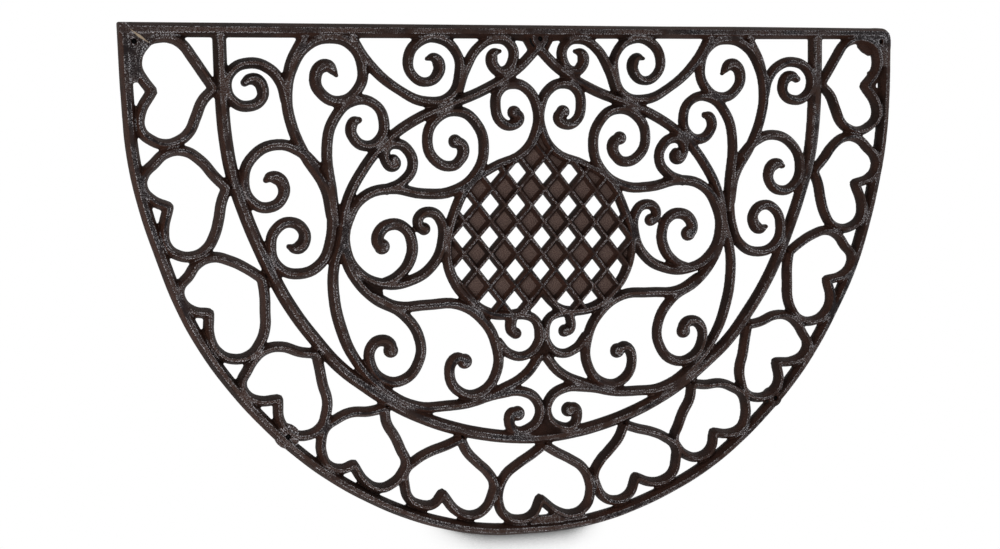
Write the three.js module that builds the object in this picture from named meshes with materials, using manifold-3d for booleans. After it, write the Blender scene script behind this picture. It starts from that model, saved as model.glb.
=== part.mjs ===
// A half-round grille mat: one flat iron casting of scrollwork, standing on five rubber feet.
// X runs along the straight edge, Y from the curved edge towards the straight edge, Z up.
// The origin is on the ground, under the middle of the mat. All sizes are in millimetres.

import * as THREE from 'three';
import { mergeVertices } from 'three/addons/utils/BufferGeometryUtils.js';
import Module from 'manifold-3d';

// The mat as a whole
const matWidth = 750;
const matDepth = 473;
const sideStraight = 45; // the sides run straight for this far before the curve begins
const cornerRadius = 8; // the corner at +X; the other one is square

// Heights above the underside of the iron
const borderHeight = 11.5;
const scrollHeight = 9.5;
const latticeHeight = 8;
const pocketFloor = 4;

// Half widths of the bars at the foot and at the crest
const rimBar = { foot: 5.5, crest: 2, height: borderHeight };
const heartBar = { foot: 4.4, crest: 1.5, height: borderHeight };
const arcBar = { foot: 6.2, crest: 2.4, height: scrollHeight };
const scrollBar = { foot: 5, crest: 1.6, height: scrollHeight };

// The inner arc: a straight stretch below the edge bar, then half an ellipse
const arcInset = 86; // from the side of the mat to the crest of the arc
const arcStraight = 65;
const arcClearance = 93.5; // from the curved edge to the crest of the arc, on the middle line
const sideScrollInset = 4; // from the crest of the arc to the centre-line of the outermost scroll
const lowScrollInset = 7; // the same for the lowest scroll

// The hearts between the inner arc and the rim
const heartsEachSide = 6;
const heartStep = 15.15; // degrees of the arc from one heart's tip to the next
const middleExtra = 0.95; // degrees more on both sides of the middle heart
const heartTurn = 14.1; // degrees that each heart is turned from its neighbour
const middleTurnLess = 1.2; // degrees less on both sides of the middle heart
const heartReach = 74.5; // from the arc to the middle of a lobe's bar

// The diamond lattice
const cellWidth = 25.6;
const cellDepth = 29.6;
const latticeTurn = -2.5; // degrees
const latticeMiddle = [1.1, -193.6];
const openShare = 0.76; // of a cell's size, open between the strips
const pocketShare = 0.6; // of a cell's size, sunk into the plates between the openings
const columnReach = 3.5; // cells from the middle to the outermost pockets, across
const rowReach = 3; // and down

// Feet, and the bosses and webs that hold them
const bossRadius = 12;
const bossHeight = 4;
const collarRadius = 7.5;
const webHeight = 8.5;
const holeRadius = 2.6;
const cornerFootInset = [13.5, 15];
const middleFootInset = 13;
const lowerFootInset = 8.5;
const lowerFootAngle = 48.5; // degrees round the curved edge
const padRadius = 11;
const padHeight = 3.5;
const padChamfer = 0.8;
const stemClearance = 0.3;
const stemRecess = 2;
const seatGap = 0.3;

// How finely the curves are divided
const mostTurn = 64; // degrees that a bar turns between two steps of its outline
const rimSpans = 32;
const arcSpans = 24;
const bossSides = 14;
const collarSides = 10;
const holeSides = 8;
const beadSides = 6;
const padSides = 16;

const beadNarrowing = 0.65; // a bead's crest, as a share of its foot
const cutMargin = 1; // cuts run past the iron by this much
const halfWidth = matWidth / 2;
const toRadians = THREE.MathUtils.degToRad;
const wasm = await Module();
wasm.setup();

// Centre-lines of the scrolls on the left half, each from its root to its curled end.
// X is 0 on the middle line and Y is 0 at the straight edge. "bead" is the radius of the end.
const scrolls = {
  sideCurlTop: {
    line: [[-232, -66], [-237, -49], [-250, -37], [-266, -33], [-280, -41], [-285, -55], [-278, -67],
      [-266, -71], [-255, -65], [-253, -54], [-260, -46]],
    end: [-266, -48], bead: 5,
  },
  sideStem: { line: [[-211, -8], [-221, -24], [-229, -42], [-232, -62]] },
  outerLoop: {
    line: [[-197, -168], [-202, -142], [-218, -112], [-229.5, -84], [-231, -62], [-225, -38], [-212, -19],
      [-194, -12.5], [-176, -19], [-166, -37], [-170, -55], [-187, -66.5], [-202, -58], [-207, -46],
      [-201, -36]],
    end: [-193.5, -38.5], bead: 6,
  },
  sideCurlMiddle: {
    line: [[-209, -125], [-222, -109], [-243, -102], [-264.5, -112], [-273.5, -133], [-266, -153],
      [-251, -158.5], [-239, -149], [-239, -136.5]],
    end: [-247, -132], bead: 5,
  },
  sideCurlLow: {
    line: [[-196.5, -165], [-198, -188], [-208, -207], [-227, -216.5], [-245, -208.5], [-252.5, -190],
      [-246, -175], [-233, -170.5], [-222, -179], [-222, -190]],
    end: [-229, -194], bead: 5,
  },
  innerLoop: {
    line: [[-197, -150], [-199.5, -105], [-192.5, -82], [-175, -66], [-156, -70], [-146.5, -85],
      [-152, -101], [-165, -105.5], [-176, -97], [-176, -88]],
    end: [-172, -85.5], bead: 5.5,
  },
  ovalLine: {
    line: [[0, -20], [-22, -39], [-52, -57], [-86, -69.5], [-120, -85], [-148, -104.5], [-170, -128],
      [-184, -158], [-189.5, -188], [-195, -214], [-196.5, -236], [-191.5, -264], [-178.5, -295],
      [-153, -324], [-122, -341.5], [-95, -345], [-68, -342.5], [-42, -335], [-18, -320], [-2, -302]],
  },
  topLoop: {
    line: [[-177, -8], [-160, -35], [-133, -59.5], [-107, -68.5], [-86, -62], [-75, -44], [-77, -25],
      [-95, -12.5], [-113, -16], [-123.5, -31], [-119, -45], [-106, -50.5], [-94.5, -43]],
    end: [-97, -32.5], bead: 6,
  },
  topCurl: {
    line: [[-79, -60], [-69, -40], [-56, -20], [-41, -12], [-28, -18], [-25.5, -31], [-35, -42],
      [-44.5, -37]],
    end: [-42, -28], bead: 6,
  },
  medallionLine: {
    line: [[-18.5, -83], [-24, -90.5], [-36, -88.5], [-43, -72], [-39, -57], [-26, -51], [-11, -57],
      [-1.5, -75], [-1.5, -95], [-17, -114.5], [-44, -129], [-67, -144], [-82, -169], [-89.5, -200],
      [-85.5, -228], [-68, -251], [-43, -263], [-18, -264.5], [-2.5, -274], [-2.5, -290], [-17, -302],
      [-33, -299], [-42, -288]],
    start: [-24, -79], bead: 6.5,
  },
  sideScroll: {
    line: [[-73.5, -112], [-84, -125.5], [-99, -121], [-107, -104], [-99, -84], [-77, -76], [-58.5, -87],
      [-52.5, -110], [-60, -134], [-83, -149.5], [-112, -151.3], [-143, -146.3], [-168, -151], [-183.5, -168],
      [-186, -194], [-174, -219], [-150, -231], [-126, -228.5], [-105, -216], [-94.5, -194],
      [-97, -173], [-107, -165.5], [-117, -171.5], [-116, -180]],
    start: [-79.5, -104.5], end: [-112, -181.5], bead: 6,
  },
  sideScrollCurl: {
    line: [[-137, -226], [-125.5, -208], [-123, -190], [-130, -178], [-143, -175], [-154.5, -182],
      [-155.5, -193]],
    end: [-151.5, -196], bead: 6.5,
  },
  ovalCurl: {
    line: [[-148, -147], [-131, -139.5], [-121.5, -123], [-127, -107.5], [-142, -103], [-151.5, -113],
      [-146, -125.5]],
    end: [-139, -123.5], bead: 6,
  },
  lowSideCurl: {
    line: [[-189, -196], [-180, -220], [-160, -242], [-135, -258.5], [-117, -281], [-117.5, -302],
      [-134, -317], [-152, -314], [-165, -299], [-163, -284], [-153, -279.5], [-146, -284]],
    end: [-145.5, -289], bead: 6.5,
  },
  lowScroll: {
    line: [[-162, -238], [-140, -250.5], [-110, -251], [-82, -252], [-59, -266], [-44.5, -289],
      [-44, -315], [-60, -334.5], [-80, -331], [-90, -313], [-84.5, -299]],
    end: [-76, -303], bead: 7,
  },
  lowBead: { line: [[-33, -264], [-31.5, -276], [-27, -284]], end: [-23.5, -282.5], bead: 6 },
  bottomCurl: {
    line: [[-68, -342], [-42, -336.8], [-20, -335], [-6, -345], [-4, -359.5], [-15, -372.5],
      [-29, -371], [-34, -360.5], [-31, -354.5]],
    end: [-25.5, -355.5], bead: 7,
  },
};

// The scrolls are drawn at one size, and stretch with the inner arc that they fill
const drawnPoints = Object.values(scrolls).flatMap(({ line }) => line);
const drawnHalfWidth = Math.max(...drawnPoints.map(([x]) => -x));
const drawnDepth = Math.max(...drawnPoints.map(([, y]) => -y));
const stretchAcross = (halfWidth - arcInset - sideScrollInset) / drawnHalfWidth;
const stretchDown = (matDepth - arcClearance - lowScrollInset) / drawnDepth;
const fit = ([x, y]) => new THREE.Vector3(x * stretchAcross, y * stretchDown, 0);

// The opening below the lattice, between the two tails of the ring
const tailsOpening = [[-0.5, -249.5], [-10.5, -261], [-0.5, -272], [9.5, -261]];

// One side of a heart, from its tip to its cleft: across from its axis, and out from the arc.
// The side towards the corner of the mat is the fuller one.
const slimSide = [[0, 7.5], [13, 15.5], [33, 30], [43, 46], [40.5, 64], [27, 73], [12, 70.5], [0, 61.5]];
const fullSide = [[0, 7.5], [16, 14], [35.5, 27], [44.5, 46], [40.5, 64], [27, 73], [12, 70.5], [0, 61.5]];

const drawnReach = Math.max(...slimSide.map(([, out]) => out));

// A smooth centre-line that is divided by how much it turns, and not by its length
class CentreLine extends THREE.CatmullRomCurve3 {
  constructor(points, mostTurn) {
    super(points);
    const spans = points.length - 1;
    this.stops = [0];
    for (let span = 0; span < spans; span += 1) {
      const turn = this.getTangent(span / spans).angleTo(this.getTangent((span + 1) / spans));
      const steps = Math.max(1, Math.ceil(turn / toRadians(mostTurn)));
      for (let step = 1; step <= steps; step += 1) {
        this.stops.push((span + step / steps) / spans);
      }
    }
  }

  getUtoTmapping(u) {
    return this.stops[Math.round(u * (this.stops.length - 1))];
  }
}

// A closed three.js geometry as a solid that can be joined and cut
function solidOf(geometry) {
  geometry.deleteAttribute('normal');
  geometry.deleteAttribute('uv');
  const merged = mergeVertices(geometry, 1e-4);
  return new wasm.Manifold(new wasm.Mesh({
    numProp: 3,
    vertProperties: merged.attributes.position.array,
    triVerts: new Uint32Array(merged.index.array),
  }));
}

function joined(solids) {
  return solids.reduce((whole, solid) => whole.add(solid));
}

function geometryOf(solid) {
  const mesh = solid.getMesh();
  const geometry = new THREE.BufferGeometry();
  geometry.setAttribute('position', new THREE.BufferAttribute(mesh.vertProperties, 3));
  geometry.setIndex(new THREE.BufferAttribute(mesh.triVerts, 1));
  geometry.computeVertexNormals();
  return geometry;
}

// A bar with sloping sides that stands on the ground plane and follows a centre-line
function bar(points, { foot, crest, height }) {
  const path = new CentreLine(points, mostTurn);
  const section = new THREE.Shape([
    new THREE.Vector2(0, -foot),
    new THREE.Vector2(0, foot),
    new THREE.Vector2(-height, crest),
    new THREE.Vector2(-height, -crest),
  ]);
  return solidOf(new THREE.ExtrudeGeometry(section, {
    steps: path.stops.length - 1,
    extrudePath: path,
  }));
}

// A flat plate between two heights
function plate(outline, bottom, top) {
  const geometry = new THREE.ExtrudeGeometry(new THREE.Shape(outline), {
    depth: top - bottom,
    bevelEnabled: false,
  });
  return solidOf(geometry.translate(0, 0, bottom));
}

function disc([x, y], radius, bottom, top, sides) {
  const geometry = new THREE.CylinderGeometry(radius, radius, top - bottom, sides);
  return solidOf(geometry.rotateX(Math.PI / 2).translate(x, y, (top + bottom) / 2));
}

// The rounded bead at the end of a curl
function bead(point, radius, height) {
  const geometry = new THREE.CylinderGeometry(radius * beadNarrowing, radius, height, beadSides);
  return solidOf(geometry.rotateX(Math.PI / 2).translate(point.x, point.y, height / 2));
}

// A point of the half ellipse that both the rim and the inner arc follow, on the left for small angles
function onCurve(angle, halfAcross, straight, lowest) {
  const turn = toRadians(angle);
  return new THREE.Vector3(
    -halfAcross * Math.cos(turn),
    -straight - (lowest - straight) * Math.sin(turn),
    0,
  );
}

function curvePoints(halfAcross, straight, lowest, spans) {
  const points = [];
  for (let i = 0; i <= spans; i += 1) {
    points.push(onCurve((180 * i) / spans, halfAcross, straight, lowest));
  }
  return points;
}

function onRim(angle, inset) {
  return onCurve(angle, halfWidth - inset, sideStraight, matDepth - inset);
}

function onArc(angle) {
  return onCurve(angle, halfWidth - arcInset, arcStraight, matDepth - arcClearance);
}

// The edge bar along the straight side, and the rim round the curve up to both corners
function edgeAndRim() {
  const inset = rimBar.foot;
  const side = halfWidth - inset;
  const bend = cornerRadius - inset;
  const rim = curvePoints(side, sideStraight, matDepth - inset, rimSpans);
  rim.unshift(new THREE.Vector3(-side, 0, 0));
  rim.push(new THREE.Vector3(side, -2 * cornerRadius, 0));
  for (let turn = 0; turn <= 90; turn += 30) {
    const angle = toRadians(turn);
    rim.push(new THREE.Vector3(
      side - bend + bend * Math.cos(angle),
      -cornerRadius + bend * Math.sin(angle),
      0,
    ));
  }
  rim.push(new THREE.Vector3(side - 2 * cornerRadius, -inset, 0));
  const edge = [
    new THREE.Vector3(-halfWidth, -inset, 0),
    new THREE.Vector3(side - 1.5 * cornerRadius, -inset, 0),
  ];
  return [bar(edge, rimBar), bar(rim, rimBar)];
}

function innerArc() {
  const points = curvePoints(halfWidth - arcInset, arcStraight, matDepth - arcClearance, arcSpans);
  points.unshift(new THREE.Vector3(points[0].x, -rimBar.foot, 0));
  points.push(new THREE.Vector3(-points[0].x, -rimBar.foot, 0));
  return bar(points, arcBar);
}

// The heart number n, counted from the middle line, on the left for positive n
function heart(n) {
  const tip = onArc(90 - heartStep * n - middleExtra * Math.sign(n));
  const turn = toRadians(heartTurn * n - middleTurnLess * Math.sign(n));
  const reach = heartReach / drawnReach;
  const sides = [[1, n >= 0 ? fullSide : slimSide], [-1, n <= 0 ? fullSide : slimSide]];
  return sides.map(([hand, side]) => {
    const points = side.map(([across, out]) => {
      const x = -hand * across;
      const y = -out * reach;
      return new THREE.Vector3(
        tip.x + x * Math.cos(turn) + y * Math.sin(turn),
        tip.y - x * Math.sin(turn) + y * Math.cos(turn),
        0,
      );
    });
    return bar(points, heartBar);
  });
}

function hearts() {
  const solids = [];
  for (let n = -heartsEachSide; n <= heartsEachSide; n += 1) {
    solids.push(...heart(n));
  }
  return solids;
}

// One scroll and its mirror image, each with the beads at its curled ends
function scrollPair({ line, start, end, bead: radius }) {
  const solids = [];
  for (const hand of [1, -1]) {
    const place = ([x, y]) => fit([hand * x, y]);
    const points = [...(start ? [start] : []), ...line, ...(end ? [end] : [])].map(place);
    solids.push(bar(points, scrollBar));
    for (const point of [start, end]) {
      if (point) {
        solids.push(bead(place(point), radius, scrollHeight));
      }
    }
  }
  return solids;
}

// The outline of the medallion, along the crest of its ring
function medallionOutline() {
  const ring = scrolls.medallionLine.line.slice(8, 19);
  const left = ring.map(([x, y]) => fit([x, y]));
  const right = ring.map(([x, y]) => fit([-x, y])).reverse();
  return [...left, ...right].map(({ x, y }) => new THREE.Vector2(x, y));
}

// A plate within the ring: every other cell of its lattice is open, and the rest are sunk
function lattice() {
  const middle = fit(latticeMiddle);
  const cell = (column, row, share, bottom, top) => {
    const corners = [[1, 0], [0, 1], [-1, 0], [0, -1]].map(([across, down]) => {
      const corner = new THREE.Vector3(
        (column + (share / 2) * across) * cellWidth,
        (row + (share / 2) * down) * cellDepth,
        0,
      );
      corner.applyAxisAngle(new THREE.Vector3(0, 0, 1), toRadians(latticeTurn)).add(middle);
      return new THREE.Vector2(corner.x, corner.y);
    });
    return plate(corners, bottom, top);
  };
  const above = latticeHeight + cutMargin;
  const cuts = [];
  for (let column = -columnReach; column <= columnReach; column += 0.5) {
    for (let row = -rowReach; row <= rowReach; row += 0.5) {
      const isPocket = column % 1 !== 0 && row % 1 !== 0;
      const isCrossing = column % 1 === 0 && row % 1 === 0 && Math.abs(row) < rowReach;
      const isAboveTails = column === 0 && row === 1 - rowReach;
      if (isPocket) {
        cuts.push(cell(column, row, pocketShare, pocketFloor, above));
      } else if (isCrossing && !isAboveTails) {
        cuts.push(cell(column, row, openShare, -cutMargin, above));
      }
    }
  }
  const tails = tailsOpening.map(fit).map(({ x, y }) => new THREE.Vector2(x, y));
  cuts.push(plate(tails, -cutMargin, above));
  return plate(medallionOutline(), 0, latticeHeight).subtract(joined(cuts));
}

function footPlaces() {
  const places = [[0, -middleFootInset]];
  for (const hand of [-1, 1]) {
    const lower = onRim(lowerFootAngle, lowerFootInset);
    places.push([hand * (halfWidth - cornerFootInset[0]), -cornerFootInset[1]]);
    places.push([-hand * lower.x, lower.y]);
  }
  return places;
}

// A flat web of the given outline
function web(outline) {
  return plate(outline.map(({ x, y }) => new THREE.Vector2(x, y)), 0, webHeight);
}

// The webs in both corners, from their insets from the sides and from the straight edge
function cornerWebs() {
  const insets = [[4, 4], [4, 45], [13, 40], [18, 27], [26, 17], [39, 12], [39, 4]];
  return [1, -1].map((hand) => web(insets.map(([x, y]) => new THREE.Vector2(hand * (halfWidth - x), -y))));
}

// The webs on the middle line: below the edge bar, where the tails of the ring cross the oval,
// and at the lowest point of the arc
function middleWebs() {
  const outlines = [
    [[-24, -6], [-24, -14], [-14, -15], [-9, -24], [9, -24], [14, -15], [24, -14], [24, -6]],
    [[-6, -297], [0, -289], [6, -297], [0, -305]],
    [[-10, -378], [0, -369], [10, -378]],
  ];
  return outlines.map((outline) => web(outline.map(fit)));
}

function casting() {
  const bosses = footPlaces().flatMap((place) => [
    disc(place, bossRadius, 0, bossHeight, bossSides),
    disc(place, collarRadius, 0, webHeight, collarSides),
  ]);
  const holes = footPlaces().map((place) => (
    disc(place, holeRadius, -cutMargin, borderHeight + cutMargin, holeSides)
  ));
  return joined([
    ...edgeAndRim(),
    innerArc(),
    ...hearts(),
    ...Object.values(scrolls).flatMap(scrollPair),
    lattice(),
    ...cornerWebs(),
    ...middleWebs(),
    ...bosses,
  ]).subtract(joined(holes));
}

// A rubber foot: a round pad below the boss, and a stem pressed up into its hole
function foot() {
  const stemRadius = holeRadius - stemClearance;
  const stemTop = padHeight + seatGap + webHeight - stemRecess;
  const profile = [
    [0, 0],
    [padRadius - padChamfer, 0],
    [padRadius, padChamfer],
    [padRadius, padHeight],
    [stemRadius, padHeight],
    [stemRadius, stemTop - padChamfer],
    [stemRadius - padChamfer, stemTop],
    [0, stemTop],
  ];
  const geometry = new THREE.LatheGeometry(profile.map(([r, z]) => new THREE.Vector2(r, z)), padSides);
  return geometry.rotateX(Math.PI / 2);
}

const iron = new THREE.MeshStandardMaterial({ color: 0x3d302d, roughness: 0.55, metalness: 0.6 });
iron.name = 'cast_iron';
const rubber = new THREE.MeshStandardMaterial({ color: 0x151413, roughness: 0.85, metalness: 0 });
rubber.name = 'rubber';

const mat = new THREE.Group();
mat.position.y = matDepth / 2;

const grille = new THREE.Mesh(geometryOf(casting()), iron);
grille.name = 'casting';
grille.position.z = padHeight + seatGap;
mat.add(grille);

const footNames = ['foot_middle', 'foot_corner_left', 'foot_curve_left', 'foot_corner_right', 'foot_curve_right'];
footPlaces().forEach(([x, y], index) => {
  const mesh = new THREE.Mesh(foot(), rubber.clone());
  mesh.name = footNames[index];
  mesh.position.set(x, y, 0);
  mat.add(mesh);
});

export default mat;
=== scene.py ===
# A half-round door mat: one openwork iron casting on five rubber feet, finished for rendering.
# The drawing is in millimetres: x is 0 on the middle line, and y is 0 at the straight edge.

import math

import bmesh
import bpy
from mathutils import Matrix, Vector


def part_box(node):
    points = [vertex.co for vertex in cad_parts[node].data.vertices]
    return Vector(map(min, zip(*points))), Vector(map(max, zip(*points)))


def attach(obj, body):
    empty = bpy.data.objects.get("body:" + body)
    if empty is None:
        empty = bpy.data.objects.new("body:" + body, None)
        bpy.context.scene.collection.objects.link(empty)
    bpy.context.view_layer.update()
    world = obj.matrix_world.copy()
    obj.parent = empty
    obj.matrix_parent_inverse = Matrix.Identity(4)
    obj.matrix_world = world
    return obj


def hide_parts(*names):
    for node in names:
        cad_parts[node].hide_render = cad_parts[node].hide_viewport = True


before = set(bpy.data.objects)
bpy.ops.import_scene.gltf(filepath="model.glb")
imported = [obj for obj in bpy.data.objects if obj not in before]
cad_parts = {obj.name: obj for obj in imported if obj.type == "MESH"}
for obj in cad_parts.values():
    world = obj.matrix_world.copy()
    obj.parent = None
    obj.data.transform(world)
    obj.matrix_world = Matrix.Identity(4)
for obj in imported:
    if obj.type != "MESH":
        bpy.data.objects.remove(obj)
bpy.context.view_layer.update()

mm = 0.001
iron_low, iron_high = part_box("casting")
half_width = iron_high.x / mm
depth = (iron_high.y - iron_low.y) / mm

# Heights above the underside of the iron
border_height = 11.5
scroll_height = 9.5
strip_height = 8.8
pocket_floor = 4.2
pocket_rim = 5.8
lattice_underside = 0.4
boss_height = 4
collar_height = 9.4
sunken_web_height = 5.2
heart_web_height = 7.8
corner_plate_height = 10.4

# Half the width of a scroll at its foot
scroll_foot = 4.9

# The diamond lattice. A cell is as wide and deep as its diamond, and the shares are of that size.
cell_width = 25.6
cell_depth = 29.6
lattice_turn = -2.5
lattice_middle = (1.1, -193.6)
columns_aside = 4
rows_aside = 3
open_share = 0.78
floor_share = 0.62

# Columns and rows of the cells that are pockets with a floor instead of openings
closed_cells = [
    (2, 2), (-2, -3), (2, -3), (0, -2), (-1, -3), (1, -3), (0, -3), (0, 3), (-1, 3), (1, 3),
]

# The strips between the cells: how far they are followed, in cells, and the shortest that is kept
strips_aside = 7
strip_reach = 8
strip_steps = 400
shortest_strip = 4

# Each foot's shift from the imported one, across and out, and the radii of its boss and of the raised
# collar on the boss
feet = {
    "foot_middle": (0, 0, 10.3, 7.5),
    "foot_corner_left": (-0.5, -1.2, 10.3, 8.5),
    "foot_curve_left": (0.3, 1.2, 10.8, 10.8),
    "foot_corner_right": (-1.2, 0.4, 10.3, 8.5),
    "foot_curve_right": (-1.0, -0.9, 8.6, 6.5),
}
foot_radius = 9.2
hole_radius = 2.4

# How far a cutter stands out of what it cuts through, and out of the lattice's floor
cut_margin = 1
pocket_margin = 0.2

# How finely the iron is divided
voxel = 0.85
lattice_voxel = 0.5
casting_triangles = 196000
lattice_triangles = 90000

# Centre-lines are drawn along the crests. A third number is the width there, where the bar isn't of
# its usual width, and a bar whose last point has one ends in a dome.

# The rim, from the left corner round the curve, up to the rounded corner on the right
rim_line = [
    (-369.5, -1), (-369.3, -20), (-368.2, -67), (-365.5, -111), (-357.3, -154.5), (-345, -196),
    (-330.5, -237.5), (-311.5, -276), (-288, -311.5), (-261.3, -344), (-232.5, -373),
    (-201, -398.7), (-167, -420.5), (-132, -438.3), (-95.5, -451.7), (-58.5, -460.4), (-19, -463.4),
    (19, -463.8), (57.3, -460), (95, -451), (131.7, -438), (167.6, -421), (201, -399), (232, -373),
    (261.3, -344), (287.2, -311), (309.5, -275), (329.5, -237), (344.3, -196), (355.7, -154),
    (364, -111), (367.5, -67), (368.3, -24), (368.2, -11), (366.6, -7.4), (362, -6.6), (350, -6.6),
]

# The bar along the straight edge
edge_line = [
    (-374.5, -6.2, 1.15), (-200, -6.4, 1.14), (0, -6.6, 1.13), (130, -6.5, 1.05), (200, -6.5, 1.08),
    (352, -6.6),
]

# The left half of the inner arc, down from the edge bar. The right half is stouter at the top.
arc_half = [
    (-290, -4), (-290, -30), (-289.5, -65), (-287.5, -98), (-282.5, -130), (-273, -162),
    (-261.5, -192), (-248.5, -221), (-233, -249), (-214.5, -275), (-194, -299.5), (-170, -319.5),
    (-144.5, -337.5), (-117.5, -352), (-89, -363.5), (-60, -371.7), (-30, -377),
]
stout_top = [1.2, 1.2, 1.17, 1.12, 1.07]

# The tips of the hearts stand on an arc: its inset from the sides, its straight stretch, and its
# clearance from the lowest point. Then, in degrees, how far apart they are and how they are turned.
arc_inset = 86
arc_straight = 65
arc_clearance = 93.5
hearts_each_side = 6
heart_step = 15.15
middle_extra = 0.95
heart_turn = 14.1
middle_turn_less = 1.2

# The hearts from the middle one to the corner: the side towards the corner, and the other side.
# Each runs from the tip to the cleft, across from the heart's axis and out from the arc. The middle
# heart is the same on both sides.
middle_heart_side = [
    (0, 7), (12, 15), (27, 23.5), (38.5, 32), (45, 44), (46, 57.5), (40, 70), (27, 75.5), (13, 72),
]
hearts = [
    (middle_heart_side, middle_heart_side),
    (
        [
            (0, 7), (12, 15), (27, 23.3), (38.3, 32.3), (46.5, 43.6), (44, 57), (37.5, 68),
            (26.6, 72), (14, 70),
        ],
        [
            (0, 7), (8.5, 18), (21, 26.7), (32.6, 34), (40.7, 43.5), (41, 54.7), (37.5, 66.6),
            (27, 75), (11.5, 74),
        ],
    ),
    (
        [
            (0, 7), (11.6, 15.5), (27, 23), (36.5, 33.5), (42.4, 44.3), (40.6, 56.3), (35.3, 66),
            (26.7, 73), (13, 72),
        ],
        [
            (0, 7), (8, 18.6), (21, 27.3), (31, 35.7), (40, 43.7), (41, 54.7), (36.7, 66),
            (27, 74.5), (12, 74),
        ],
    ),
    (
        [
            (0, 7), (12, 14.7), (28.3, 21.3), (38.3, 32.3), (40.6, 44.5), (39, 56), (36.2, 67),
            (26.7, 72.5), (14, 70),
        ],
        [
            (0, 7), (10.3, 15), (22.6, 25), (34, 32.8), (41.3, 43.3), (45, 55), (39.4, 68.3),
            (27.2, 75), (12.5, 73),
        ],
    ),
    (
        [
            (0, 7), (13.3, 11.8), (29.2, 20), (41, 30.5), (44, 44), (40, 56.2), (37, 67.5),
            (26.8, 73.5), (13.6, 70.7),
        ],
        [
            (0, 7), (11.7, 13), (24.7, 22), (36.4, 30.8), (44, 42), (47, 55.4), (40.3, 69),
            (27, 75.5), (12.6, 73),
        ],
    ),
    (
        [
            (0, 7), (12.8, 12.8), (30, 18.8), (43, 29.2), (46.5, 43.7), (41.8, 56.6), (36.7, 67.3),
            (26.7, 72.8), (14.3, 69),
        ],
        [
            (0, 7), (9.7, 16), (23, 24.3), (34, 33), (41.5, 43.2), (43, 55), (37.5, 66.6),
            (26.7, 73), (13.6, 70.6),
        ],
    ),
    (
        [
            (0, 7), (12.5, 13.5), (28, 21.3), (40.5, 28.5), (46.6, 37.5), (48, 46.5), (46.8, 55),
            (42.3, 62.3), (33.3, 67), (24.5, 68.3), (15, 65),
        ],
        [
            (0, 7), (8.4, 18), (21.7, 26), (33.4, 33.4), (39.7, 43.8), (41, 54.7), (36, 65.5),
            (26.7, 73), (13, 71.5),
        ],
    ),
]

# The cleft of each heart, from the left corner to the right one: how far it lies beside the heart's
# axis, and out
clefts = [
    (4.4, 59), (4, 59), (4, 61.4), (1.5, 59), (4.6, 64.3), (7.4, 59.3), (5, 57.8), (0.5, 60),
    (1.5, 62), (1.3, 57), (-1, 59), (-4, 56), (-3.7, 57),
]
nub_length = 4
nub_width = 0.62

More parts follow.
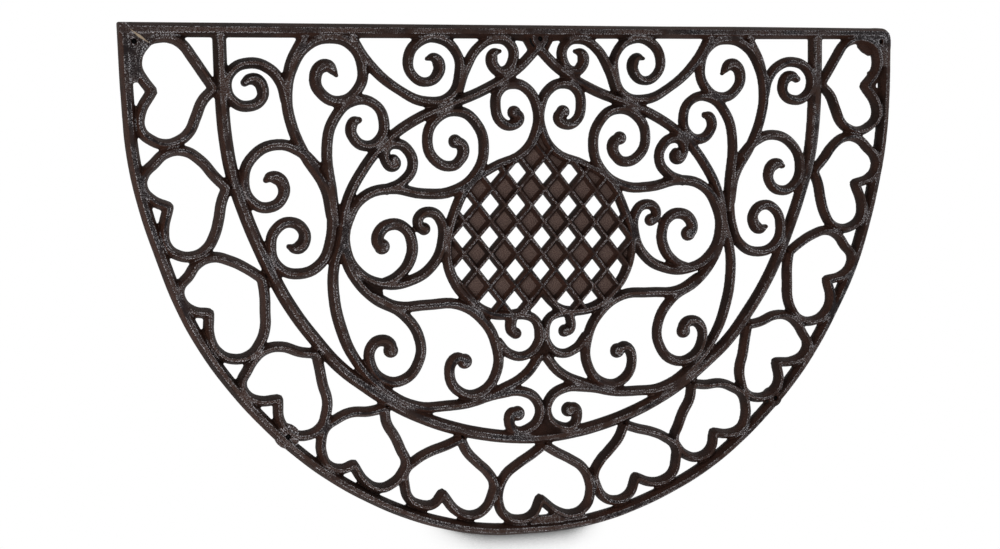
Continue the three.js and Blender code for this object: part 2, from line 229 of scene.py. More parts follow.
# The scrolls on the left half, from the root to the curled end
scrolls = {
    "side_curl_top": [
        (-234, -66.5), (-238.5, -50), (-250, -37.6), (-266, -34), (-280.5, -40.5), (-285.5, -55),
        (-278.5, -67.5), (-266, -70.5), (-255.5, -64.5), (-254.5, -55, 1.1), (-259, -48.5, 1.15),
        (-265.5, -47.8, 1.0), (-269.5, -50.5, 0.75),
    ],
    "side_stem": [(-214, -8), (-222.5, -21, 0.95), (-229, -33, 0.9), (-233, -48, 0.9)],
    "outer_loop": [
        (-196.5, -168), (-201.7, -142), (-219.5, -112.5), (-230.7, -84.3), (-233.3, -62),
        (-227.5, -37), (-213.5, -18.5), (-194, -12.5), (-175.5, -18.2), (-165.5, -37),
        (-169, -55.6), (-187, -67.3), (-203.7, -59.5), (-207.8, -46, 1.12), (-201.5, -36.7, 1.2),
        (-195.5, -37, 1.15), (-191.5, -41, 0.8), (-188.8, -44.8, 0.4),
    ],
    "side_curl_middle": [
        (-208, -124.5), (-223, -110.2), (-243, -103.8), (-263.7, -112.8), (-273, -133),
        (-266, -153), (-251, -157.6), (-239.5, -149), (-239.5, -137, 1.15), (-244.7, -132.3, 1.2),
        (-250.5, -132, 1.0), (-253.5, -134, 0.6),
    ],
    "side_curl_low": [
        (-195.5, -165), (-198, -188), (-207, -207.8), (-227, -216.4), (-245.7, -209.2),
        (-251.3, -190), (-245.2, -175.8), (-233, -171.2), (-222, -179, 1.05), (-221.8, -188, 1.15),
        (-226.3, -193.3, 1.2), (-231, -194, 0.95), (-235.3, -192.3, 0.5),
    ],
    "inner_loop": [
        (-193.5, -176), (-195.5, -150), (-199, -105), (-192, -82.4), (-174.7, -67),
        (-155.7, -69.5, 0.9), (-147, -85), (-151.5, -101.4), (-165.2, -106.4), (-176.2, -97),
        (-177, -90, 1.05), (-174, -85, 1.0), (-169.8, -83.8, 0.65),
    ],
    "oval_line": [
        (0, -20), (-21, -40), (-51.6, -57.8), (-85.4, -71), (-119.8, -85.3), (-147.7, -105),
        (-168.4, -129), (-183.5, -158), (-189, -188), (-196, -214), (-196.5, -236, 1.05),
        (-191.5, -264, 1.08), (-178.5, -295), (-153, -324), (-122, -341.5), (-95, -343),
        (-68.3, -341), (-43, -332.5), (-17.7, -320.4), (-2, -302),
    ],
    "top_loop": [
        (-177, -8), (-159.7, -34.7), (-132, -58, 0.88), (-107, -68.5), (-84.7, -63.8),
        (-75.7, -43.8), (-78, -25.6, 0.92), (-95, -12.2), (-113.3, -15.5), (-123.5, -31),
        (-119.4, -45.3, 0.9), (-106, -51, 0.88), (-95.5, -42.5, 1.1), (-95.5, -33.5, 1.15),
        (-100, -29.3, 0.9), (-106, -30.5, 0.4),
    ],
    "top_curl": [
        (-77.8, -60.6), (-70, -39.3), (-56.4, -19.6, 0.94), (-41, -12.4), (-27, -17.3),
        (-24.2, -31.3), (-35, -42.4), (-43.5, -36.8, 1.1), (-44.7, -29, 1.15), (-42, -25, 0.9),
        (-37, -23.8, 0.45),
    ],
    "medallion_line": [
        (-24, -79), (-19, -83.7), (-24, -89.8), (-35.7, -88.2), (-42, -72), (-37.7, -58.3),
        (-25.5, -53), (-11.5, -57.5), (-1.5, -75), (-2.3, -94.7), (-15.5, -115.7),
        (-44.7, -127.8, 0.88), (-68, -142.6), (-83.5, -168.5), (-91, -200), (-85.5, -228),
        (-68, -250), (-52, -260.5), (-35, -263.2), (-25, -262.8, 0.95), (-17, -259.5, 0.85),
        (-11, -255, 0.8), (-5, -249, 0.75), (0, -242.8, 0.7),
    ],
    "tail_line": [
        (-27, -263), (-13, -265.5, 0.9), (-7.2, -269, 0.9), (-3.8, -274.5, 0.95), (-2.6, -281),
        (-4, -291), (-17, -302, 0.9), (-33, -299, 0.94), (-44.5, -287),
    ],
    "side_scroll": [
        (-81, -104), (-75, -107.5, 1.15), (-73.5, -113.5, 1.15), (-77, -121), (-84, -125.9),
        (-99.3, -121.3), (-107.3, -104), (-99, -84), (-77, -77.2), (-60.5, -88.5), (-53.8, -110),
        (-61.8, -133.2), (-83.5, -148.2), (-112, -150), (-143, -144.7), (-167.5, -151.3),
        (-181, -169.5), (-185, -194), (-173.2, -218.2), (-149.6, -229.3), (-126.4, -227.4),
        (-105.7, -215.4), (-95, -194), (-97, -173), (-107, -166.5), (-117, -171.5), (-116, -180),
        (-112, -181.5),
    ],
    "side_scroll_curl": [
        (-152, -229.3), (-138, -223), (-125.5, -208, 1.08), (-124.3, -190, 1.05),
        (-131, -179.4, 1.05), (-142.8, -176.3, 1.1), (-153.4, -182.7, 1.15), (-155, -192.8, 1.15),
        (-151.3, -195.8),
    ],
    "oval_curl": [
        (-148, -146), (-131, -138.8), (-121.4, -125), (-126, -110.5), (-136, -105),
        (-144.5, -107.5), (-147, -114), (-145.5, -121), (-140.5, -125.3), (-137, -122.5),
        (-139, -119),
    ],
    "low_side_curl": [
        (-188, -195.7), (-178.8, -219.3), (-159.6, -241.5), (-133.6, -257), (-118.3, -281.4),
        (-120, -301), (-134.2, -316.2), (-152.6, -315.2), (-165, -299), (-163, -284, 1.05),
        (-153, -279.5, 1.1), (-146, -284, 1.15), (-145.5, -289),
    ],
    "low_scroll": [
        (-162, -238), (-139.8, -249.6), (-110, -250), (-81.8, -251), (-58.7, -265.8),
        (-45.6, -289.4), (-45.2, -314.6), (-60.7, -332.8), (-80.3, -332), (-91, -313),
        (-84, -300, 1.08), (-76, -303.5),
    ],
    "bottom_curl": [
        (-68.3, -340.6), (-42.3, -335.5), (-20, -335.3), (-6, -345), (-4, -359.5), (-15.5, -370.8),
        (-29, -371), (-34, -360.5, 1.05), (-31, -354.5, 1.1), (-25.5, -355.5),
    ],
}

# Round beads on the ends of the other curls: place and radius
beads = [
    (-24, -79, 6.5), (-81, -104, 6.5), (-112, -181.5, 6), (-151.3, -195.8, 7.3), (-139, -119, 5),
    (-145.5, -289, 7), (-76, -303.5, 7.2), (-25.5, -355.5, 7.2),
]

# The small curls below the ring aren't alike on the two sides
ring_curls = [
    [(-28.5, -262, 1.1), (-30.3, -269, 1.1), (-31, -273.5, 1.1), (-29.8, -278, 1.1), (-26.3, -281)],
    [(27, -264, 0.95), (28.4, -271, 0.95), (29, -275.6), (27.5, -280, 1.05), (23.8, -281.8)],
]
ring_beads = [(-26, -280.8, 5.6), (22.5, -281.4, 6)]

# The ring round the lattice is this stretch of the medallion's line
ring_line = scrolls["medallion_line"][9:]


def level(height):
    """A height above the underside of the iron, in the frame of the part."""
    return iron_low.z + height * mm


def place(x, y, height=0.0):
    """A point of the drawing, at a height above the underside of the iron, in the same frame."""
    return Vector((x * mm, iron_high.y + y * mm, level(height)))


def link(name, data):
    """A new object in the scene."""
    piece = bpy.data.objects.new(name, data)
    bpy.context.scene.collection.objects.link(piece)
    return piece


def remove(piece):
    """Takes out an object together with its mesh or curve."""
    data = piece.data
    bpy.data.objects.remove(piece)
    if isinstance(data, bpy.types.Mesh):
        bpy.data.meshes.remove(data)
    else:
        bpy.data.curves.remove(data)


def evaluated_mesh(piece):
    """The mesh of a piece with its curve or its modifiers worked out."""
    graph = bpy.context.evaluated_depsgraph_get()
    return bpy.data.meshes.new_from_object(piece.evaluated_get(graph), depsgraph=graph)


# Bars


def section(foot, crest, wall, height):
    """The outline of a cast bar: low upright walls, sloping shoulders and a narrow crest. Foot and
    crest are half widths."""
    outline = [
        (-foot, 0), (-foot, wall), (-crest, height), (crest, height), (foot, wall), (foot, 0),
    ]
    curve = bpy.data.curves.new("section", "CURVE")
    spline = curve.splines.new("POLY")
    spline.points.add(len(outline) - 1)
    for point, (across, up) in zip(spline.points, outline):
        point.co = (across * mm, up * mm, 0, 1)
    spline.use_cyclic_u = True
    return link("section", curve)


def bars(lines, profile, height, smooth=True):
    """A mesh of closed bars that follow the lines, no higher than the height."""
    curve = bpy.data.curves.new("bars", "CURVE")
    curve.dimensions = "3D"
    curve.twist_mode = "Z_UP"
    curve.resolution_u = 5
    curve.bevel_mode = "OBJECT"
    curve.bevel_object = profile
    curve.use_fill_caps = True
    for line in lines:
        spline = curve.splines.new("BEZIER")
        spline.bezier_points.add(len(line) - 1)
        for point, (x, y, *width) in zip(spline.bezier_points, line):
            point.co = place(x, y)
            point.radius = width[0] if width else 1.0
            point.handle_left_type = point.handle_right_type = "AUTO" if smooth else "VECTOR"
    piece = link("bars", curve)
    mesh = evaluated_mesh(piece)
    remove(piece)
    for vertex in mesh.vertices:
        vertex.co.z = min(vertex.co.z, level(height))
    return mesh


def mirrored(line):
    """The same line on the other half of the mat."""
    return [(-x, y, *width) for x, y, *width in line]


def arc_point(angle):
    """Where a heart's tip stands. 0 degrees is on the left, and 90 on the middle line."""
    turn = math.radians(angle)
    across = half_width - arc_inset
    down = depth - arc_clearance - arc_straight
    return (-across * math.cos(turn), -arc_straight - down * math.sin(turn))


def arc_line():
    """The inner arc, down the left half and up the right one."""
    widths = stout_top + [1.0] * len(arc_half)
    right = [(x, y, width) for (x, y), width in zip(mirrored(arc_half), widths)]
    return arc_half + [(0, -379)] + right[::-1]


def heart_lines():
    """Both sides of every heart, drawn out from the inner arc and turned with it. One side of each
    runs on past the cleft as a small nub."""
    lines = []
    for n, (aside, out_there) in zip(range(hearts_each_side, -hearts_each_side - 1, -1), clefts):
        side_of_mat = (n > 0) - (n < 0)
        tip = arc_point(90 - heart_step * n - middle_extra * side_of_mat)
        turn = math.radians(heart_turn * n - middle_turn_less * side_of_mat)
        to_corner, to_middle = hearts[abs(n)]
        left = to_corner if n >= 0 else to_middle
        right = to_corner if n <= 0 else to_middle
        nub_hand = 1 if n >= -1 else -1
        for hand, shape in ((1, left), (-1, right)):
            cleft = (hand * aside, out_there)
            ends = [(*cleft, 1)]
            if hand == nub_hand:
                last = shape[-1]
                run = 1 + nub_length / math.dist(last, cleft)
                ends.append((*(a + (b - a) * run for a, b in zip(last, cleft)), nub_width))
            lines.append([
                (tip[0] - hand * across * math.cos(turn) - out * math.sin(turn),
                 tip[1] + hand * across * math.sin(turn) - out * math.cos(turn), *width)
                for across, out, *width in [*shape, *ends]
            ])
    return lines


# Solids made from a few vertices


def mesh_of(shape):
    """The mesh of a finished bmesh."""
    mesh = bpy.data.meshes.new("shape")
    shape.to_mesh(mesh)
    shape.free()
    return mesh


def plate(outline, bottom, top):
    """An upright prism on an outline of the drawing, between two heights."""
    shape = bmesh.new()
    face = shape.faces.new([shape.verts.new(place(x, y, bottom)) for x, y in outline])
    raised = bmesh.ops.extrude_face_region(shape, geom=[face])
    top_verts = [v for v in raised["geom"] if isinstance(v, bmesh.types.BMVert)]
    bmesh.ops.translate(shape, verts=top_verts, vec=(0, 0, (top - bottom) * mm))
    bmesh.ops.recalc_face_normals(shape, faces=shape.faces)
    return mesh_of(shape)


def disc(x, y, radius, bottom, top):
    """An upright cylinder between two heights."""
    shape = bmesh.new()
    bmesh.ops.create_cone(
        shape, cap_ends=True, segments=48, radius1=radius * mm, radius2=radius * mm,
        depth=(top - bottom) * mm, matrix=Matrix.Translation(place(x, y, (bottom + top) / 2)),
    )
    return mesh_of(shape)


def bead(x, y, radius, height):
    """The domed end of a curl, flat below."""
    shape = bmesh.new()
    size = Matrix.Diagonal((radius * mm, radius * mm, height * mm, 1))
    bmesh.ops.create_uvsphere(
        shape, u_segments=24, v_segments=16, radius=1.0,
        matrix=Matrix.Translation(place(x, y)) @ size,
    )
    whole = shape.verts[:] + shape.edges[:] + shape.faces[:]
    cut = bmesh.ops.bisect_plane(
        shape, geom=whole, plane_co=place(x, y), plane_no=(0, 0, -1), clear_outer=True,
    )
    rim = [e for e in cut["geom_cut"] if isinstance(e, bmesh.types.BMEdge)]
    bmesh.ops.edgeloop_fill(shape, edges=rim)
    bmesh.ops.recalc_face_normals(shape, faces=shape.faces)
    return mesh_of(shape)


def joined(name, meshes):
    """One object that holds all the meshes."""
    shape = bmesh.new()
    for mesh in meshes:
        shape.from_mesh(mesh)
        bpy.data.meshes.remove(mesh)
    return link(name, mesh_of(shape))


def settle(piece):
    """Applies a piece's modifiers to its mesh."""
    mesh = evaluated_mesh(piece)
    old = piece.data
    piece.modifiers.clear()
    piece.data = mesh
    bpy.data.meshes.remove(old)


def cut_by(piece, cutter):
    """Takes the cutter's shape out of a piece, and removes the cutter."""
    cut = piece.modifiers.new("cut", "BOOLEAN")
    cut.operation = "DIFFERENCE"
    cut.solver = "EXACT"
    cut.object = cutter
    settle(piece)
    remove(cutter)


def cast(piece, size, most_triangles):
    """Fuses overlapping solids into one skin, softens its corners and thins it out."""
    fuse = piece.modifiers.new("fuse", "REMESH")
    fuse.mode = "VOXEL"
    fuse.voxel_size = size * mm
    fuse.use_smooth_shade = True
    soften = piece.modifiers.new("soften", "SMOOTH")
    soften.factor = 0.5
    soften.iterations = 3
    settle(piece)
    piece.data.calc_loop_triangles()
    count = len(piece.data.loop_triangles)
    if count > most_triangles:
        thin_out = piece.modifiers.new("thin_out", "DECIMATE")
        thin_out.ratio = most_triangles / count
        settle(piece)


# The casting


def foot_place(name):
    """The middle of a foot in the drawing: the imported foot's with its shift."""
    low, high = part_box(name)
    middle = (low + high) / 2
    across, out, *_ = feet[name]
    return (middle.x / mm + across, (middle.y - iron_high.y) / mm + out)


def foot_discs():
    """The boss over each foot, with its collar."""
    discs = []
    for name, (_, _, boss_radius, collar_radius) in feet.items():
        discs.append(disc(*foot_place(name), boss_radius, 0, boss_height))
        discs.append(disc(*foot_place(name), collar_radius, 0, collar_height))
    return discs


def webs():
    """What fills the corners of the mat and the narrow gaps between some bars."""
    corner_plates = [
        [(-371, -4), (-371, -50), (-360, -50), (-357.3, -40), (-357, -32.5), (-353, -25),
         (-347, -18), (-338, -12), (-332, -4)],
        [(368, -41), (368, -10), (365.5, -7), (330, -6), (330, -13), (339.6, -12.5), (348.7, -14.4),
         (355.6, -19.8), (359.1, -29.5), (359.8, -37)],
    ]
    sunken_webs = [
        [(-24, -6), (-24, -14), (-14, -15), (-9, -24), (9, -24), (14, -15), (24, -14), (24, -6)],
        [(-6, -297), (0, -289), (6, -297), (0, -305)],
        [(-209, -120), (-199, -120), (-197, -138), (-201, -138)],
        [(209, -120), (199, -120), (197, -138), (201, -138)],
        [(-12, -378), (-5, -366), (0, -360), (5, -366), (12, -378)],
        [(-168, -226), (-152.7, -232), (-151.5, -240.7), (-146, -245), (-160, -240.5)],
        [(338, -15), (338.5, -20), (343.5, -24.5), (351, -28.5), (356, -24), (348, -15)],
        [(350, -44), (368, -36), (368, -57), (363, -54.6), (359.6, -54.8), (357.9, -57.6),
         (351, -58.4)],
        [(351, -57.6), (357.9, -57.6), (359.4, -60), (363, -60), (368, -57), (368, -82),
         (360, -78)],
    ]
    middle_heart_web = [
        (-18, -462), (-14, -456.5), (-9.5, -453), (1.5, -453), (12, -452.5), (36, -452.5),
        (42, -459),
    ]
    return [
        *[plate(outline, 0, corner_plate_height) for outline in corner_plates],
        *[plate(outline, 0, sunken_web_height) for outline in sunken_webs],
        plate(middle_heart_web, 0, heart_web_height),
    ]


def make_casting():
    """All the iron but the lattice, with the holes of the feet."""
    rim_section = section(5.4, 2.0, 4.5, border_height)
    heart_section = section(4.7, 1.3, 3.5, border_height)
    arc_section = section(5.9, 2.0, 3.5, scroll_height)
    scroll_section = section(scroll_foot, 1.4, 3.0, scroll_height)
    lines = [line for left in scrolls.values() for line in (left, mirrored(left))] + ring_curls
    domed = [line for line in lines if len(line[-1]) == 3]
    meshes = [
        bars([edge_line, rim_line], rim_section, border_height),
        bars([arc_line()], arc_section, scroll_height),
        bars(heart_lines(), heart_section, border_height),
        bars(lines, scroll_section, scroll_height),
        *[bead(hand * x, y, radius, scroll_height) for x, y, radius in beads for hand in (1, -1)],
        *[bead(*one, scroll_height) for one in ring_beads],
        *[bead(x, y, scroll_foot * width, scroll_height * min(1, width + 0.1))
          for *_, (x, y, width) in domed],
        *webs(),
        *foot_discs(),
    ]
    for profile in (rim_section, heart_section, arc_section, scroll_section):
        remove(profile)
    casting = joined("iron_casting", meshes)
    cast(casting, voxel, casting_triangles)
    cut_by(casting, joined("holes", [
        disc(*foot_place(name), hole_radius, -cut_margin, border_height + cut_margin)
        for name in feet
    ]))
    return casting


def make_foot(name):
    """A turned rubber foot: a grooved pad with a stem that sits in the hole of the boss. Its
    profile runs from the middle of the underside, out and up."""
    low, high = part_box(name)
    middle = place(*foot_place(name))
    radius = foot_radius * mm
    top = high.z - low.z
    profile = [
        (0, 0.9 * mm), (4.2 * mm, 0.9 * mm), (4.8 * mm, 0.25 * mm), (6.2 * mm, 0), (7.2 * mm, 0),
        (7.5 * mm, 0.35 * mm), (7.9 * mm, 0.35 * mm), (8.2 * mm, 0), (radius - 1.6 * mm, 0),
        (radius - 0.5 * mm, 0.35 * mm), (radius, 1.2 * mm), (radius, top - 1.1 * mm),
        (radius - 0.4 * mm, top - 0.3 * mm), (radius - 1.3 * mm, top), (3 * mm, top),
        (2.1 * mm, top + 0.6 * mm), (2.1 * mm, top + 1.4 * mm), (1.7 * mm, top + 1.8 * mm),
        (0, top + 1.8 * mm),
    ]
    shape = bmesh.new()
    verts = [shape.verts.new((middle.x + out, middle.y, low.z + up)) for out, up in profile]
    edges = [shape.edges.new(pair) for pair in zip(verts, verts[1:])]
    bmesh.ops.spin(
        shape, geom=verts + edges, cent=(middle.x, middle.y, 0), axis=(0, 0, 1),
        angle=math.tau, steps=64, use_merge=True,
    )
    bmesh.ops.remove_doubles(shape, verts=shape.verts, dist=1e-6)
    bmesh.ops.recalc_face_normals(shape, faces=shape.faces)
    foot = link("rubber_" + name, mesh_of(shape))
    for face in foot.data.polygons:
        face.use_smooth = True
    return foot


def ring_outline():
    """The line of the ring, from its top down the left side to the cusp, and up the right side."""
    left = [(x, y) for x, y, *_ in ring_line if x < 0]
    return left + [ring_line[-1][:2]] + [(-x, y) for x, y in reversed(left)]


def is_inside(x, y, outline):
    """Whether a point lies in a closed outline: an odd number of its sides pass on the right."""
    inside = False
    for (x0, y0), (x1, y1) in zip(outline, outline[1:] + outline[:1]):
        if (y0 > y) != (y1 > y) and x < x0 + (y - y0) * (x1 - x0) / (y1 - y0):
            inside = not inside
    return inside


def lattice_point(column, row):
    """The middle of a cell, or a place between cells, in the drawing."""
    turn = math.radians(lattice_turn)
    x, y = column * cell_width, row * cell_depth
    return (
        lattice_middle[0] + x * math.cos(turn) - y * math.sin(turn),
        lattice_middle[1] + x * math.sin(turn) + y * math.cos(turn),
    )


def strip_lines(outline):
    """The crossing strips between the cells, from one side of the ring to the other."""
    lines = []
    for slope in (1, -1):
        for crossing in range(-strips_aside, strips_aside + 1):
            run = []
            for i in range(-strip_steps, strip_steps + 1):
                along = strip_reach * i / strip_steps
                x, y = lattice_point(
                    (along + crossing + 0.5) / 2, slope * (along - crossing - 0.5) / 2,
                )
                if is_inside(x, y, outline):
                    run.append((x, y))
                elif run:
                    lines.append([run[0], run[-1]])
                    run = []
    return [line for line in lines if math.dist(*line) > shortest_strip]


def diamond(column, row, reach, reach_above, bottom):
    """What is cut out of one cell: from the bottom upwards, between two sizes of diamond."""
    shape = bmesh.new()
    rings = []
    for share, height in ((reach, bottom), (reach_above, pocket_rim + pocket_margin)):
        corners = [
            lattice_point(column + across, row + down)
            for across, down in ((share, 0), (0, share), (-share, 0), (0, -share))
        ]
        rings.append([shape.verts.new(place(*corner, height)) for corner in corners])
    shape.faces.new(rings[0])
    shape.faces.new(rings[1])
    for i in range(4):
        shape.faces.new((rings[0][i - 1], rings[0][i], rings[1][i], rings[1][i - 1]))
    bmesh.ops.recalc_face_normals(shape, faces=shape.faces)
    return mesh_of(shape)


def make_lattice():
    """A floor with openings, and pockets between them, under crossing strips."""
    outline = ring_outline()
    strip_section = section(2.9, 0.75, 3.6, strip_height)
    strips = bars(strip_lines(outline), strip_section, strip_height, smooth=False)
    remove(strip_section)
    floor = joined("floor", [plate(outline, lattice_underside, pocket_rim)])
    reach, floor_reach = open_share / 2, floor_share / 2
    cutters = []
    for column in range(-columns_aside, columns_aside + 1):
        for row in range(-rows_aside, rows_aside + 1):
            if (column, row) in closed_cells:
                cutters.append(diamond(column, row, floor_reach, reach, pocket_floor))
            else:
                cutters.append(diamond(column, row, reach, reach, -cut_margin))
            cutters.append(diamond(column + 0.5, row + 0.5, floor_reach, reach, pocket_floor))
    cut_by(floor, joined("openings", cutters))
    lattice = joined("iron_lattice", [strips, floor.data.copy()])
    remove(floor)
    cast(lattice, lattice_voxel, lattice_triangles)
    return lattice


# Materials


class Link:
    """A node's output, on which sums and products add Math nodes."""

    def __init__(self, nodes, socket):
        self.nodes = nodes
        self.socket = socket

    def maths(self, operation, *values):
        return self.nodes.add("ShaderNodeMath", {"operation": operation}, dict(enumerate(values)))

    def __add__(self, other):
        return self.maths("ADD", self, other)

    def __sub__(self, other):
        return self.maths("SUBTRACT", self, other)

    def __rsub__(self, other):
        return self.maths("SUBTRACT", other, self)

    def __mul__(self, other):
        return self.maths("MULTIPLY", self, other)

    __radd__ = __add__
    __rmul__ = __mul__

    def __abs__(self):
        return self.maths("ABSOLUTE", self)

    def at_least(self, least):
        """The value, or the least that is allowed."""
        return self.maths("MAXIMUM", self, least)

    def ramp(self, low, high):
        """0 up to low, 1 from high on, and smooth between them."""
        return self.nodes.add(
            "ShaderNodeMapRange", {"interpolation_type": "SMOOTHSTEP"},
            {"Value": self, "From Min": low, "From Max": high},
        )


class Nodes:
    """The nodes of one material, ending in its Principled shader."""

    def __init__(self, name, **constants):
        self.material = bpy.data.materials.new(name)
        self.material.use_nodes = True
        self.tree = self.material.node_tree
        self.shader = self.tree.nodes["Principled BSDF"]
        for key, value in constants.items():
            self.shader.inputs[key.replace("_", " ")].default_value = value

    def add(self, kind, settings=None, values=None, output=0):
        """A new node with its settings and the values or links of its sockets; gives one output."""
        node = self.tree.nodes.new(kind)
        for key, value in (settings or {}).items():
            setattr(node, key, value)
        for key, value in (values or {}).items():
            if isinstance(value, Link):
                self.tree.links.new(value.socket, node.inputs[key])
            else:
                node.inputs[key].default_value = value
        return Link(self, node.outputs[output])

    def mix(self, factor, a, b):
        """Colour a where the factor is 0, and b where it is 1."""
        return self.add("ShaderNodeMix", {"data_type": "RGBA"}, {0: factor, 6: a, 7: b}, 2)

    def noise(self, where, scale, detail=3.0, rough=0.55):
        values = {"Vector": where, "Scale": scale, "Detail": detail, "Roughness": rough}
        return self.add("ShaderNodeTexNoise", {}, values)

    def part(self, vector, name):
        """The X, Y or Z of a vector."""
        return self.add("ShaderNodeSeparateXYZ", {}, {0: vector}, name)

    def feed(self, name, value):
        """Links a value to a socket of the shader."""
        self.tree.links.new(value.socket, self.shader.inputs[name])

    def bump(self, strength, distance, height):
        values = {"Strength": strength, "Distance": distance, "Height": height}
        self.feed("Normal", self.add("ShaderNodeBump", {}, values))


def colour(red, green, blue):
    """A shader colour from 0 to 255 screen values."""
    def linear(value):
        share = value / 255
        return share / 12.92 if share <= 0.04045 else ((share + 0.055) / 1.055) ** 2.4
    return (linear(red), linear(green), linear(blue), 1.0)


def streak(nodes, where, start, end, half):
    """1 on a thin mark between two points of the drawing, tapering to its ends."""
    first, last = place(*start), place(*end)
    run = last - first
    length = run.length
    run.normalize()
    x = nodes.part(where, "X") - first.x
    y = nodes.part(where, "Y") - first.y
    along = (x * run.x + y * run.y) * (1 / length)
    aside = abs(y * run.x - x * run.y) * (1 / (half * mm))
    ragged = nodes.noise(where, 700.0) * 1.4
    taper = 1 - abs(along * 2 - 1)
    within = along.ramp(0.0, 0.02) * (1 - along).ramp(0.0, 0.02)
    return (taper * 1.6 - aside + ragged - 0.9).ramp(0.0, 0.25) * within


def iron_material():
    """Dark brown cast iron, with painted shade low on its walls and broken painted highlights along
    its crests.
    """
    nodes = Nodes("cast_iron", Metallic=0.0, Specular_IOR_Level=0.1)
    where = nodes.add("ShaderNodeTexCoord", output="Object")
    normal = nodes.add("ShaderNodeNewGeometry", output="Normal")
    facing_up = nodes.part(normal, "Z")
    height = nodes.part(where, "Z")
    patches = nodes.noise(where, 16.0)
    streaks = nodes.noise(where, 60.0, 2.0)
    grain = nodes.noise(where, 1000.0, 2.0, 0.6)
    grit = nodes.noise(where, 1800.0, 1.0)
    high = height.ramp(level(6.8), level(7.8))
    # Painted highlight: the glints below are painted stronger on shoulders that face right, as if lit
    # by a lamp on the right
    to_right = nodes.part(normal, "X").ramp(-0.5, 0.4)
    crest = facing_up.ramp(0.72, 0.95) * high
    off_crest = 1 - facing_up.ramp(0.93, 0.995) * 0.8
    # The band of the painted highlights: the shoulders of high crests, less on their flat tops
    painted_glint_band = facing_up.ramp(0.6, 0.8) * high * off_crest * (to_right * 0.4 + 0.6)
    flats = facing_up.ramp(0.8, 0.97) * height.ramp(level(4.9), level(4.6))
    # Painted shade: low, steep walls are darkened towards the foot, where shade falls between the
    # bars
    painted_low_shade = facing_up.ramp(0.75, 0.45) * height.ramp(level(8.0), level(1.0))
    brown = nodes.mix(patches.ramp(0.4, 0.65), colour(67, 43, 34), colour(40, 26, 21))
    grainy = nodes.mix(grain.ramp(0.62, 0.4) * 0.6, brown, colour(22, 15, 12))
    # Painted shade: the colour goes to near black low on the steep walls
    walls = nodes.mix(painted_low_shade * 0.8, grainy, colour(17, 11, 8))
    sandy = nodes.mix(grain.ramp(0.4, 0.6), colour(79, 62, 56), colour(108, 89, 82))
    floors = nodes.mix(flats, walls, sandy)
    top = nodes.mix(patches.ramp(0.36, 0.6), colour(30, 28, 30), colour(68, 50, 43))
    tops = nodes.mix(crest * 0.85, floors, top)
    # Painted highlights: broken pale specks along the crests' shoulders, standing in for glints of
    # light, mixed into the colour
    painted_glints = painted_glint_band * (grain.ramp(0.5, 0.6) * streaks.ramp(0.34, 0.54))
    with_painted_glints = nodes.mix(painted_glints, tops, colour(206, 203, 206))
    scratch = streak(nodes, where, (-367, -5), (-347.5, -19.5), 0.9)
    nodes.feed("Base Color", nodes.mix(scratch, with_painted_glints, colour(168, 150, 128)))
    nodes.feed("Roughness", 0.5 + grit * 0.12 - painted_glints * 0.15)
    nodes.bump(0.7, 0.0006, grain * 0.8 + grit * 0.4)
    return nodes.material


def rubber_material():
    """Matt black rubber, a little dusty."""
    nodes = Nodes("rubber", Roughness=0.8, Specular_IOR_Level=0.15)
    where = nodes.add("ShaderNodeTexCoord", output="Object")
    dust = nodes.noise(where, 220.0)
    black = nodes.mix(dust.ramp(0.45, 0.7), colour(11, 10, 10), colour(30, 28, 27))
    nodes.feed("Base Color", black)
    nodes.bump(0.3, 0.0003, dust)
    return nodes.material


# Floor, lamps and camera


def make_floor():
    """A floor that is seen as plain white, but for a soft shadow below the lowest part of the
    rim."""
    shape = bmesh.new()
    bmesh.ops.create_grid(shape, x_segments=1, y_segments=1, size=60.0)
    floor = link("floor", mesh_of(shape))
    pale, shaded = (0.86, 0.86, 0.86, 1), (0.2, 0.2, 0.2, 1)
    nodes = Nodes("white_floor", Base_Color=pale, Roughness=1.0)
    where = nodes.add("ShaderNodeTexCoord", output="Object")
    x, y = nodes.part(where, "X"), nodes.part(where, "Y")
    # Metres out from the rim, which is close to a parabola here
    out = place(0, -464).y - y + x * x * 1.35
    outside = out.ramp(-0.002, 0.002) * (0.06 - out).ramp(0.0, 0.03)
    beside = (x + 0.126).ramp(0.0, 0.075) * (0.068 - x).ramp(0.0, 0.045)
    below_rim = outside * beside
    near = nodes.add("ShaderNodeAmbientOcclusion", {"samples": 8}, {"Distance": 0.024}, "AO")
    shade = below_rim * ((1 - near) * 2.5)
    nodes.feed("Base Color", nodes.mix(shade.ramp(0.0, 0.8), pale, shaded))
    camera, glossy, through = (
        nodes.add("ShaderNodeLightPath", output=ray)
        for ray in ("Is Camera Ray", "Is Glossy Ray", "Is Transmission Ray")
    )
    white = (camera + glossy + through) * (1 - shade * 1.5).at_least(0.0)
    glow = nodes.add("ShaderNodeEmission", {}, {"Strength": 1.0})
    matt = Link(nodes, nodes.shader.outputs[0])
    blend = nodes.add("ShaderNodeMixShader", {}, {0: white, 1: matt, 2: glow})
    nodes.tree.links.new(blend.socket, nodes.tree.nodes["Material Output"].inputs["Surface"])
    floor.data.materials.append(nodes.material)


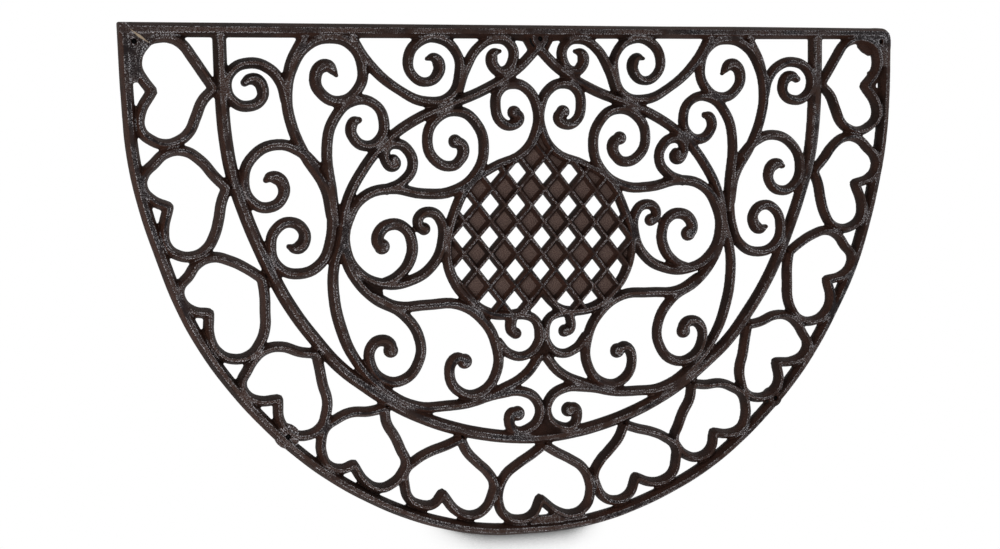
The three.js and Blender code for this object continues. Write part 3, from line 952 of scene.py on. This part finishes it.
def lamp(name, at, size, watts, tint=(1, 1, 1)):
    """A round lamp that shines on the middle of the mat."""
    data = bpy.data.lights.new(name, "AREA")
    data.shape = "DISK"
    data.size = size
    data.energy = watts
    data.color = tint
    light = link(name, data)
    light.location = at
    light.rotation_euler = (-Vector(at)).to_track_quat("-Z", "Y").to_euler()


def make_light():
    """A dim room, with a soft lamp over the mat and low ones round it."""
    world = bpy.data.worlds.new("studio")
    bpy.context.scene.world = world
    world.use_nodes = True
    background = world.node_tree.nodes["Background"]
    background.inputs["Color"].default_value = (0.035, 0.035, 0.035, 1)
    lamp("soft_key", (-1.3, -0.4, 1.7), size=2.0, watts=10)
    lamp("left_side", (-0.9, -0.15, 0.55), size=0.5, watts=4.0)
    lamp("right_side", (0.95, 0.05, 0.5), size=0.5, watts=3.4, tint=(0.94, 0.97, 1.0))
    lamp("front_side", (-0.05, -0.85, 0.5), size=0.5, watts=3.0)
    lamp("back_light", (-0.2, 1.6, 1.3), size=0.6, watts=9)


def make_camera():
    """The photo's camera: above the mat and to its left, leaning by a degree."""
    at = Vector((-0.5428, 0.1422, 1.3647))
    aim = Vector((-0.0397, 0.0104, 0.0040))
    lean = math.radians(-1.0)
    forward = (aim - at).normalized()
    sideways = forward.cross(Vector((0, 1, 0))).normalized()
    across = sideways * math.cos(lean) + sideways.cross(forward) * math.sin(lean)
    up = across.cross(forward)
    data = bpy.data.cameras.new("camera")
    data.lens = 57.38
    data.clip_start = 0.01
    camera = link("camera", data)
    turn = Matrix((across, up, -forward)).transposed()
    camera.matrix_world = Matrix.Translation(at) @ turn.to_4x4()
    bpy.context.scene.camera = camera


def hand_over(piece, material, replaced):
    """Gives a piece its material, and its place in the frame."""
    piece.data.materials.clear()
    piece.data.materials.append(material)
    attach(piece, "root")
    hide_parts(replaced)


make_camera()
make_light()
make_floor()

iron = iron_material()
rubber = rubber_material()
hand_over(make_casting(), iron, "casting")
hand_over(make_lattice(), iron, "casting")
for name in feet:
    hand_over(make_foot(name), rubber, name)

bpy.context.scene.view_settings.view_transform = "Standard"
